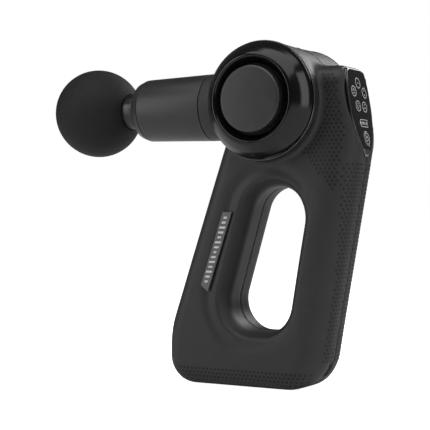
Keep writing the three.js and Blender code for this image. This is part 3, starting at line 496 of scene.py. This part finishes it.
tree, keys, group_in, group_out = node_tree("dimple_field", ["Radius", "Depth", "Sink"])
cup = tree.nodes.new("GeometryNodeMeshCylinder")
cup.fill_type = "TRIANGLE_FAN"
cup.inputs["Vertices"].default_value = 10
tree.links.new(group_in.outputs["Radius"], cup.inputs["Radius"])
tree.links.new(group_in.outputs["Depth"], cup.inputs["Depth"])
where = tree.nodes.new("GeometryNodeInputPosition")
apart = tree.nodes.new("ShaderNodeSeparateXYZ")
tree.links.new(where.outputs["Position"], apart.inputs["Vector"])
flat = tree.nodes.new("ShaderNodeCombineXYZ")
tree.links.new(apart.outputs["X"], flat.inputs["X"])
tree.links.new(apart.outputs["Y"], flat.inputs["Y"])
length = tree.nodes.new("ShaderNodeVectorMath")
length.operation = "LENGTH"
tree.links.new(flat.outputs["Vector"], length.inputs[0])
central, upper, both = [tree.nodes.new("ShaderNodeMath") for _ in range(3)]
central.operation, upper.operation, both.operation = "LESS_THAN", "GREATER_THAN", "MULTIPLY"
central.inputs[1].default_value = 0.1 * MM
upper.inputs[1].default_value = 0.0
tree.links.new(length.outputs["Value"], central.inputs[0])
tree.links.new(apart.outputs["Z"], upper.inputs[0])
tree.links.new(central.outputs["Value"], both.inputs[0])
tree.links.new(upper.outputs["Value"], both.inputs[1])
down = tree.nodes.new("ShaderNodeCombineXYZ")
negative = tree.nodes.new("ShaderNodeMath")
negative.operation = "MULTIPLY"
negative.inputs[1].default_value = -1.0
tree.links.new(group_in.outputs["Sink"], negative.inputs[0])
tree.links.new(negative.outputs["Value"], down.inputs["Z"])
dish = tree.nodes.new("GeometryNodeSetPosition")
tree.links.new(cup.outputs["Mesh"], dish.inputs["Geometry"])
tree.links.new(both.outputs["Value"], dish.inputs["Selection"])
tree.links.new(down.outputs["Vector"], dish.inputs["Offset"])
# darker than the soft-touch shell: painted shade for the inside of each dimple, the dish shape itself
# is real geometry
dimple_painted_shade = finish("dimple_painted_shade", (0.006, 0.006, 0.006), 0.5, specular=0.3)
scatter(tree, group_in, group_out, dish.outputs["Geometry"], dimple_painted_shade)
dimples = grow_pieces("grip_dimples", dimple_places, dimple_normals, tree, keys,
                      {"Radius": DIMPLE_RADIUS, "Depth": DIMPLE_DEPTH, "Sink": DIMPLE_SINK})
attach(dimples, "housing")

# ------------------------------------------------------------------ shell screws
# Four steel pan-head screws with a hexagon recess, sunk in the right shell and driven through
# it into bosses of the left one.

HEX_RADIUS, HEX_DEPTH, HEX_RISE = 1.3, 2.4, 1.3
SHANK_RADIUS, SHANK_LENGTH, SHANK_DROP = 1.4, 32.0, 16.95
tree, keys, group_in, group_out = node_tree("shell_screw", ["Head radius", "Head height"])
head = tree.nodes.new("GeometryNodeMeshCylinder")
head.inputs["Vertices"].default_value = 40
tree.links.new(group_in.outputs["Head radius"], head.inputs["Radius"])
tree.links.new(group_in.outputs["Head height"], head.inputs["Depth"])
recess = tree.nodes.new("GeometryNodeMeshCylinder")
recess.inputs["Vertices"].default_value = 6
recess.inputs["Radius"].default_value = HEX_RADIUS * MM
recess.inputs["Depth"].default_value = HEX_DEPTH * MM
raised = tree.nodes.new("GeometryNodeTransform")
raised.inputs["Translation"].default_value = (0, 0, HEX_RISE * MM)
tree.links.new(recess.outputs["Mesh"], raised.inputs["Geometry"])
carve = tree.nodes.new("GeometryNodeMeshBoolean")
carve.operation = "DIFFERENCE"
tree.links.new(head.outputs["Mesh"], carve.inputs["Mesh 1"])
tree.links.new(raised.outputs["Geometry"], carve.inputs["Mesh 2"])
shank = tree.nodes.new("GeometryNodeMeshCylinder")
shank.inputs["Vertices"].default_value = 20
shank.inputs["Radius"].default_value = SHANK_RADIUS * MM
shank.inputs["Depth"].default_value = SHANK_LENGTH * MM
lowered = tree.nodes.new("GeometryNodeTransform")
lowered.inputs["Translation"].default_value = (0, 0, -SHANK_DROP * MM)
tree.links.new(shank.outputs["Mesh"], lowered.inputs["Geometry"])
whole = tree.nodes.new("GeometryNodeJoinGeometry")
tree.links.new(carve.outputs["Mesh"], whole.inputs["Geometry"])
tree.links.new(lowered.outputs["Geometry"], whole.inputs["Geometry"])
screw_steel = finish("screw_steel", (0.1, 0.1, 0.11), 0.35, relief=0.01, metallic=1.0)
scatter(tree, group_in, group_out, whole.outputs["Geometry"], screw_steel)
screws = grow_pieces(
    "shell_screws", [Vector((x, SCREW_SEAT - SCREW_HEAD_TALL / 2, z)) * MM for x, z in BOSSES],
    [(0, 1, 0)] * 4, tree, keys, {"Head radius": SCREW_HEAD, "Head height": SCREW_HEAD_TALL})
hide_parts("shell_screw_1", "shell_screw_2", "shell_screw_3", "shell_screw_4")
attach(screws, "housing")

# ------------------------------------------------------------------ side covers
# Each side of the drum is closed by a glossy black moulded bowl with a rounded crest, pressed
# in over a thin plated ring. A satin disc with a softened edge sits in the bowl.


def soften(profile, radius, steps=6):
    """Profile with each inner corner replaced by a short curve."""
    points = [np.array(p, float) for p in profile]
    result = [points[0]]
    for a, b, c in zip(points, points[1:], points[2:]):
        into, out = a - b, c - b
        size = min(radius, 0.45 * np.linalg.norm(into), 0.45 * np.linalg.norm(out))
        start, end = b + into / np.linalg.norm(into) * size, b + out / np.linalg.norm(out) * size
        for k in range(steps + 1):
            t = k / steps
            result.append((1 - t) ** 2 * start + 2 * t * (1 - t) * b + t * t * end)
    return result + [points[-1]]


def turned(name, profile, origin, axis, across, material, segments=144, crease=35):
    """Turned solid. profile is [radius, place along axis]; it meets the axis at both ends,
    or is a ring that closes on itself."""
    origin, axis, across = (np.array(v, float) for v in (origin, axis, across))
    side = np.cross(axis, across)
    on_axis = profile[0][0] < 1e-6 and profile[-1][0] < 1e-6
    points, rings = [], []
    for radius, along in profile:
        if radius < 1e-6:
            rings.append([len(points)] * segments)
            points.append(origin + axis * along)
            continue
        rings.append(list(range(len(points), len(points) + segments)))
        for k in range(segments):
            angle = 2 * math.pi * k / segments
            points.append(origin + axis * along
                          + radius * (math.cos(angle) * across + math.sin(angle) * side))
    if not on_axis:
        rings.append(rings[0])
    faces = []
    for low, high in zip(rings, rings[1:]):
        for k in range(segments):
            j = (k + 1) % segments
            corners = [low[k], low[j], high[j], high[k]]
            face = [c for i, c in enumerate(corners) if c not in corners[:i]]
            if len(face) > 2:
                faces.append(face)
    piece = make_solid(name, points, faces, crease)
    piece.data.materials.append(material)
    return piece


gloss_black = finish("gloss_black", (0.003, 0.003, 0.0034), 0.17, grain=2.0, relief=0.004,
                     mottle=0.05, specular=0.33)
disc_satin = finish("disc_satin", (0.017, 0.017, 0.0175), 0.36, grain=0.25, relief=0.02)
plated = finish("plated_trim", (0.12, 0.12, 0.125), 0.25, relief=0.005, metallic=1.0)
RIM_Y = DRUM_HALF + 1.5 + 2 * GAP
PLUG = BORE_RADIUS - GAP
cover_profile = [(0, 35.0)] + soften([
    (20.6, 35.0), (20.9, 35.0), (23.0, 37.9), (24.8, 40.0), (26.6, 39.5), (30.6, 35.6),
    (34.0, RIM_Y + 2.8), (DRUM_RADIUS, RIM_Y), (PLUG, RIM_Y)], 1.6) + [
    (PLUG, RIM_Y - 4.5), (PLUG - 2, RIM_Y - 4.5), (PLUG - 2, RIM_Y + 1), (24.0, 36.6),
    (22.2, 33.0), (0, 33.0)]
disc_profile = [(0, 35.3)] + soften([(19.0, 35.3), (19.4, 35.3), (19.4, 41.0), (18.4, 41.8),
                                     (0.5, 41.8)], 0.8) + [(0, 41.8)]
trim_profile = [(BORE_RADIUS + GAP, 26.3)] + soften([
    (34.6, 26.3), (DRUM_RADIUS, 26.3), (DRUM_RADIUS + 0.25, 27.05), (DRUM_RADIUS, 27.8),
    (34.6, 27.8)], 0.4) + [(BORE_RADIUS + GAP, 27.8)]
for name, side in (("left", -1), ("right", 1)):
    for part, profile, material, node, slot in (
            ("cover_bowl", cover_profile, gloss_black, "side_cover", "gloss_black"),
            ("cover_centre", disc_profile, disc_satin, "cover_disc", "satin_grey"),
            ("cover_trim", trim_profile, plated, "trim_ring", "bright_trim")):
        piece = turned(f"{part}_{name}", profile, (DRUM_X, 0, DRUM_Z), (0, side, 0), (1, 0, 0),
                       material)
        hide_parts(f"{node}_{name}")
        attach(piece, "housing")

# ------------------------------------------------------------------ barrel
# A matt moulded sleeve plugs over the guide tube in the neck and stops at a satin front ring
# with a chamfered lip. The ring is pressed on and leaves the piston's mouth open.

barrel_matt = finish("barrel_matt", (0.014, 0.014, 0.0145), 0.42, grain=0.4, relief=0.03)
ring_satin = finish("ring_satin", (0.022, 0.022, 0.023), 0.3, grain=0.4, relief=0.02)
BARREL_AXIS = dict(origin=(DRUM_X, 0, DRUM_Z), axis=(-1, 0, 0), across=(0, 1, 0))
SLEEVE_REAR, SLEEVE_FRONT, MOUTH_RADIUS = SEAM_REACH + GAP / 2, 94.0, 13.9
sleeve = turned("barrel_tube", [(SLEEVE_BORE, SLEEVE_REAR)] + soften([
    (20.2, SLEEVE_REAR), (NECK_RADIUS, SLEEVE_REAR), (19.7, SLEEVE_FRONT), (18.4, SLEEVE_FRONT)],
    0.5) + [(SLEEVE_BORE, SLEEVE_FRONT)], material=barrel_matt, **BARREL_AXIS)
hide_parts("barrel_sleeve")
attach(sleeve, "housing")
front_ring = turned("barrel_lip", [(MOUTH_RADIUS, 94.3)] + soften([
    (19.0, 94.3), (19.7, 94.3), (18.0, 98.8), (17.2, 99.2), (14.4, 99.2), (MOUTH_RADIUS, 98.7)],
    0.5) + [(MOUTH_RADIUS, 97.0)], material=ring_satin, **BARREL_AXIS)
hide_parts("barrel_front_ring")
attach(front_ring, "housing")

# ------------------------------------------------------------------ massage head
# A ball of dense fine-grained foam is moulded over a glossy plastic shank. The shank's collar
# stops on the piston's mouth, and an O-ring in its groove holds the head in.

foam = finish("fine_foam", (0.0085, 0.0085, 0.009), 0.7, grain=0.8, relief=0.2, mottle=0.2,
              specular=0.28)
BALL_RADIUS, BALL_REACH = 28.6, 136.8
open_angle = math.asin(11.8 / BALL_RADIUS)
ball_profile = [(BALL_RADIUS * math.sin(a), BALL_REACH + BALL_RADIUS * math.cos(a))
                for a in np.linspace(0, math.pi - open_angle, 90)]
ball_profile[0] = (0, BALL_REACH + BALL_RADIUS)
ball_profile += [(11.8, 111.1), (6.3, 111.1), (6.3, 131.1), (0, 131.1)]
ball = turned("foam_ball", ball_profile, material=foam, segments=160, **BARREL_AXIS)
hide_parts("massage_head_ball")
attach(ball, "head")
shank_gloss = finish("shank_gloss", (0.005, 0.005, 0.0055), 0.3, grain=1.0, relief=0.01)
shank_profile = [(0, 76.5), (6.5, 76.5), (7.5, 77.5), (7.5, 88.3), (6.0, 88.3), (6.0, 90.7),
                 (7.5, 90.7), (7.5, 102.8)] + soften([
                     (9.5, 102.8), (11.5, 102.8), (11.5, 110.8), (9.0, 110.8)], 0.8) + [
                     (6.0, 110.8), (6.0, 130.8), (0, 130.8)]
head_stem = turned("head_stem", shank_profile, material=shank_gloss, **BARREL_AXIS)
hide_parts("head_shank")
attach(head_stem, "head")

# ------------------------------------------------------------------ control panel
# A glossy black lens, slightly crowned, is glued on the flat facet at the rear. White marks are
# printed on it: five rings of setting dots, and a battery gauge over the power key.

CROWN = 0.35


def crown(y, z):
    return (CROWN * np.clip(1 - (y / 15) ** 2, 0, 1)
            * np.clip(1 - ((z - 166) / 30) ** 2, 0, 1))


LENS_STEP = 0.3
lens_x, lens_y = np.arange(69.0, 88.0, LENS_STEP), np.arange(-20.0, 20.4, LENS_STEP)
lens_z = np.arange(128.0, 196.0, LENS_STEP)
x, y, z = lens_x[:, None, None], lens_y[None, :, None], lens_z[None, None, :]
lens = outer_field(lens_x, lens_y, lens_z, *handle_fields(lens_x, lens_y, lens_z))
lens = np.maximum(lens, GAP - LENS_SINK - beyond_panel(x, z))
lens = np.maximum(lens, beyond_panel(x, z) - LENS_PROUD - crown(y, z))
lens = soft_cut(lens, lens_outline(y, z), 1.2)
lens = np.maximum(lens, KEY_RADIUS + GAP - key_distance(x, y, z))
lens_gloss = finish("lens_gloss", (0.004, 0.004, 0.005), 0.06, grain=3.0, relief=0.002,
                    mottle=0.03, coat=0.6)
panel_lens = solid_from_field("panel_lens", lens,
                              np.array([lens_x[0], lens_y[0], lens_z[0]]), LENS_STEP)
panel_lens.data.materials.append(lens_gloss)
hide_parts("control_lens")
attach(panel_lens, "housing")


def marks(name, outlines, lift, material, surface):
    """Thin printed marks. Each outline is (outer points, inner points or None) in (y, z)."""
    points, faces = [], []
    for outer, inner in outlines:
        rings = [outer] if inner is None else [outer, inner]
        start, count = len(points), len(outer)
        for height in (lift, -0.1):
            for ring in rings:
                points += [surface(py, pz, height) for py, pz in ring]
        top, bottom = start, start + count * len(rings)
        for k in range(count):
            j = (k + 1) % count
            faces.append([top + k, top + j, bottom + j, bottom + k])
            if inner is not None:
                faces.append([top + count + j, top + count + k,
                              bottom + count + k, bottom + count + j])
                faces.append([top + j, top + k, top + count + k, top + count + j])
                faces.append([bottom + k, bottom + j, bottom + count + j, bottom + count + k])
        if inner is None:
            faces.append([top + k for k in range(count)][::-1])
            faces.append([bottom + k for k in range(count)])
    piece = make_solid(name, points, faces)
    piece.data.materials.append(material)
    return piece


def circle(cy, cz, radius, count=40):
    return [(cy + radius * math.cos(2 * math.pi * k / count),
             cz + radius * math.sin(2 * math.pi * k / count)) for k in range(count)]


def rectangle(cy, cz, width, height, steps=8):
    corners = np.array([(-1, -1), (1, -1), (1, 1), (-1, 1)]) * (width / 2, height / 2) + (cy, cz)
    return [tuple(a + (b - a) * k / steps) for a, b in zip(corners, np.roll(corners, -1, axis=0))
            for k in range(steps)]


def on_lens(py, pz, height):
    rise = LENS_PROUD + float(crown(py, pz)) + height
    return (panel_x(pz) + rise / PANEL_OUT[0], py, pz)


print_white = finish("print_white", (0.5, 0.5, 0.5), 0.5, relief=0.005, mottle=0.03)
lens_marks = []
for i in range(5):
    angle = 2 * math.pi * i / 5
    cy, cz = 7.6 * math.sin(angle), 172.8 + 7.6 * math.cos(angle)
    lens_marks.append((circle(cy, cz, 3.15), circle(cy, cz, 2.75)))
    for k in range(i + 1):
        turn = 2 * math.pi * k / (i + 1)
        spread = 0 if i == 0 else 1.3
        lens_marks.append((circle(cy + spread * math.sin(turn), cz + spread * math.cos(turn),
                                  0.42, 12), None))
lens_marks.append((rectangle(0, 156.8, 9.6, 4.4), rectangle(0, 156.8, 8.9, 3.7)))
lens_marks.append((rectangle(-5.3, 156.8, 0.6, 1.8), None))
lens_marks += [(rectangle(-3.0 + 2.0 * k, 156.8, 0.7, 1.8), None) for k in range(4)]
panel_marks = marks("panel_marks", lens_marks, 0.05, print_white, on_lens)
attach(panel_marks, "housing")

# ------------------------------------------------------------------ power key
# A round glossy key stands in a hole of the lens and presses a switch on the board behind it.
# It has a slightly hollow top with a printed ring and a power mark.

key = turned("power_key_cap", [(0, -4.5), (1.6, -4.5), (1.6, -1.5)] + soften([
    (2.5, -1.5), (KEY_RADIUS, -1.5), (KEY_RADIUS, 0.8), (3.4, 0.85), (0.4, 0.7)], 0.4)
    + [(0, 0.7)], KEY_POINT, PANEL_OUT, (0, 1, 0), lens_gloss, segments=96)
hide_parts("power_button")
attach(key, "power_key")


def on_key(py, pz, height):
    up = np.array([-PANEL_OUT[2], 0, PANEL_OUT[0]])
    rise = 0.7 + 0.13 * min(1, math.hypot(py, pz) / 3.4) + height
    return tuple(KEY_POINT + PANEL_OUT * rise + up * pz + np.array([0, py, 0]))


arc = [math.radians(a) for a in range(125, 416, 10)]
power_arc = ([(1.7 * math.cos(a), 1.7 * math.sin(a)) for a in arc]
             + [(1.3 * math.cos(a), 1.3 * math.sin(a)) for a in reversed(arc)])
key_marks = marks("power_mark", [
    (circle(0, 0, 3.5), circle(0, 0, 3.15)), (power_arc, None),
    (rectangle(0, 1.4, 0.4, 1.6), None)], 0.06, print_white, on_key)
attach(key_marks, "power_key")

# ------------------------------------------------------------------ badge plate
# A thin grey plate with slanted ends is glued in a pocket of the left side of the front post.
# Plain slanted bars of changing length are printed on it.


def prism_rings(name, rings, material):
    """Closed solid skinned over rings of points, with a flat cap at each end."""
    count = len(rings[0])
    points = [p for ring in rings for p in ring]
    faces = [list(range(count)), list(range(len(points) - count, len(points)))[::-1]]
    for level in range(len(rings) - 1):
        base = level * count
        for k in range(count):
            j = (k + 1) % count
            faces.append([base + k, base + count + k, base + count + j, base + j])
    piece = make_solid(name, points, faces)
    piece.data.materials.append(material)
    return piece


plate_grey = finish("plate_grey", (0.09, 0.09, 0.092), 0.32, grain=0.3, relief=0.01)
BADGE_FACE = -HANDLE_HALF - 0.05
badge = prism_rings("badge", [
    [(px, y, pz) for px, pz in badge_outline(grow)]
    for grow, y in ((0, -HANDLE_HALF + BADGE_THICK), (0, BADGE_FACE + 0.15), (-0.15, BADGE_FACE))],
    plate_grey)
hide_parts("badge_plate")
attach(badge, "housing")
bar_points, bar_faces = [], []
for k, tall in enumerate((2.0, 3.0, 3.8, 2.6, 3.8, 3.0, 1.8, 3.0, 3.8, 2.4, 3.4, 3.8, 2.6, 2.0)):
    u = 2.8 + 3.15 * k
    corners = [on_badge(u + du + 0.35 * dv, BADGE_WIDTH / 2 + dv)
               for du, dv in ((0, -tall / 2), (1.3, -tall / 2), (1.3, tall / 2), (0, tall / 2))]
    start = len(bar_points)
    for y in (BADGE_FACE - 0.05, BADGE_FACE + 0.1):
        bar_points += [(px, y, pz) for px, pz in corners]
    bar_faces += [[start + i for i in f] for f in (
        (0, 1, 2, 3), (7, 6, 5, 4), (0, 4, 5, 1), (1, 5, 6, 2), (2, 6, 7, 3), (3, 7, 4, 0))]
badge_bars = make_solid("badge_bars", bar_points, bar_faces)
badge_bars.data.materials.append(print_white)
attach(badge_bars, "housing")

# ------------------------------------------------------------------ charging socket and vent
# A moulded black pill-shaped socket sits in the rear lower corner, and a
# shallow black insert closes the vent pocket on top of the drum. Both are pressed in.


def pill_ring(centre, out, half, reach, height, count=12):
    along = np.array([-out[2], 0, out[0]])
    ring = []
    for end in (1, -1):
        for k in range(count + 1):
            angle = math.pi * (k / count - 0.5)
            ring.append(centre + out * height + along * end * (reach + half * math.cos(angle))
                        + np.array([0, end * half * math.sin(angle), 0]))
    return ring


insert_black = finish("insert_black", (0.004, 0.004, 0.004), 0.45, grain=0.5, relief=0.02)
for name, centre, out, half, reach, depth, node in (
        ("charging_socket", PORT_CENTRE, PORT_OUT, PORT_HALF, PORT_REACH, 7.0, "charge_port"),
        ("vent_slot", VENT_CENTRE, VENT_OUT, VENT_HALF, VENT_REACH, 1.0, "vent_insert")):
    levels = [(0.0, -depth - 0.5), (0.0, -0.2), (-0.2, 0.0), (-0.5, 0.0), (-0.6, -0.2), (-0.6, -depth)]
    piece = prism_rings(name, [pill_ring(centre, out, half + grow, reach, height)
                               for grow, height in levels], insert_black)
    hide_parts(node)
    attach(piece, "housing")

# ------------------------------------------------------------------ pieces inside
# Motor, crank drive, piston, boards, cells and O-ring keep their CAD shape. Each has the finish
# of its own material: turned steel, aluminium, enamelled copper, solder mask, sleeved cells.

inside = {
    "steel": finish("turned_steel", (0.55, 0.56, 0.58), 0.3, relief=0.01, metallic=1.0),
    "aluminium": finish("turned_aluminium", (0.72, 0.73, 0.75), 0.32, relief=0.01, metallic=1.0),
    "copper": finish("enamelled_copper", (0.6, 0.25, 0.1), 0.35, grain=0.8, relief=0.1, metallic=1.0),
    "bushing_plastic": finish("natural_acetal", (0.8, 0.77, 0.68), 0.45),
    "board_green": finish("solder_mask", (0.02, 0.16, 0.06), 0.35, grain=1.2),
    "component_black": finish("moulded_black", (0.012, 0.012, 0.012), 0.45),
    "lamp_white": finish("light_guide", (0.85, 0.85, 0.8), 0.3),
    "cell_blue": finish("cell_sleeve", (0.03, 0.12, 0.4), 0.25),
    "rubber_black": finish("o_ring_rubber", (0.01, 0.01, 0.01), 0.7),
}
slots = {s["node"]: s["material_slot"] for s in frame["record"]["subparts"]}
for node, piece in frame["nodes"].items():
    if slots[node] in inside and not piece.hide_render:
        piece.data.materials.clear()
        piece.data.materials.append(inside[slots[node]])

# ------------------------------------------------------------------ studio
# A white floor and backdrop, soft lamps above and at both sides, and the camera level with the
# middle of the gun, turned 31 degrees from its left side towards its rear.

floor_mesh = bpy.data.meshes.new("floor")
floor_mesh.from_pydata([(-20, -20, 0), (20, -20, 0), (20, 20, 0), (-20, 20, 0)], [], [(0, 1, 2, 3)])
floor = bpy.data.objects.new("floor", floor_mesh)
bpy.context.collection.objects.link(floor)
floor.location.z = -0.0002
pale = bpy.data.materials.new("pale_floor")
pale.use_nodes = True
pale_shader = pale.node_tree.nodes["Principled BSDF"]
pale_shader.inputs["Base Color"].default_value = (0.9, 0.9, 0.9, 1)
pale_shader.inputs["Roughness"].default_value = 0.9
pale_shader.inputs["Specular IOR Level"].default_value = 0.1
pale_shader.inputs["Emission Color"].default_value = (1, 1, 1, 1)
floor_path = pale.node_tree.nodes.new("ShaderNodeLightPath")
glow = pale.node_tree.nodes.new("ShaderNodeMapRange")
glow.inputs["To Min"].default_value = 0.05
glow.inputs["To Max"].default_value = 1.0
pale.node_tree.links.new(floor_path.outputs["Is Camera Ray"], glow.inputs["Value"])
pale.node_tree.links.new(glow.outputs["Result"], pale_shader.inputs["Emission Strength"])
floor_mesh.materials.append(pale)

world = bpy.data.worlds.new("studio")
bpy.context.scene.world = world
world.use_nodes = True
world_nodes, world_links = world.node_tree.nodes, world.node_tree.links
path = world_nodes.new("ShaderNodeLightPath")
level = world_nodes.new("ShaderNodeMapRange")
level.inputs["To Min"].default_value = 0.08
level.inputs["To Max"].default_value = 1.0
world_links.new(path.outputs["Is Camera Ray"], level.inputs["Value"])
world_links.new(level.outputs["Result"], world_nodes["Background"].inputs["Strength"])
world_nodes["Background"].inputs["Color"].default_value = (1, 1, 1, 1)


def lamp(name, place, size, power):
    light = bpy.data.lights.new(name, "AREA")
    light.shape, light.size, light.size_y, light.energy = "RECTANGLE", size[0], size[1], power
    stand = bpy.data.objects.new(name, light)
    bpy.context.collection.objects.link(stand)
    stand.location = place
    aim = Vector((-0.01, 0, 0.11)) - Vector(place)
    stand.rotation_euler = aim.to_track_quat("-Z", "Y").to_euler()


lamp("top_box", (0.1, -0.5, 1.2), (1.6, 1.2), 13)
lamp("left_strip", (-0.9, -0.9, 0.4), (0.3, 1.1), 5)
lamp("rear_strip", (1.1, -0.2, 0.5), (0.3, 1.1), 3)
lamp("back_box", (0.35, 0.9, 0.75), (0.9, 0.5), 7)

bpy.context.scene.view_settings.view_transform = "Standard"
camera = bpy.data.objects.new("camera", bpy.data.cameras.new("camera"))
bpy.context.collection.objects.link(camera)
camera.location = (0.36609, -0.64165, 0.10358)
camera.rotation_euler = (math.radians(90), 0, math.radians(31))
camera.data.lens, camera.data.sensor_width = 100.47, 36.0
bpy.context.scene.camera = camera
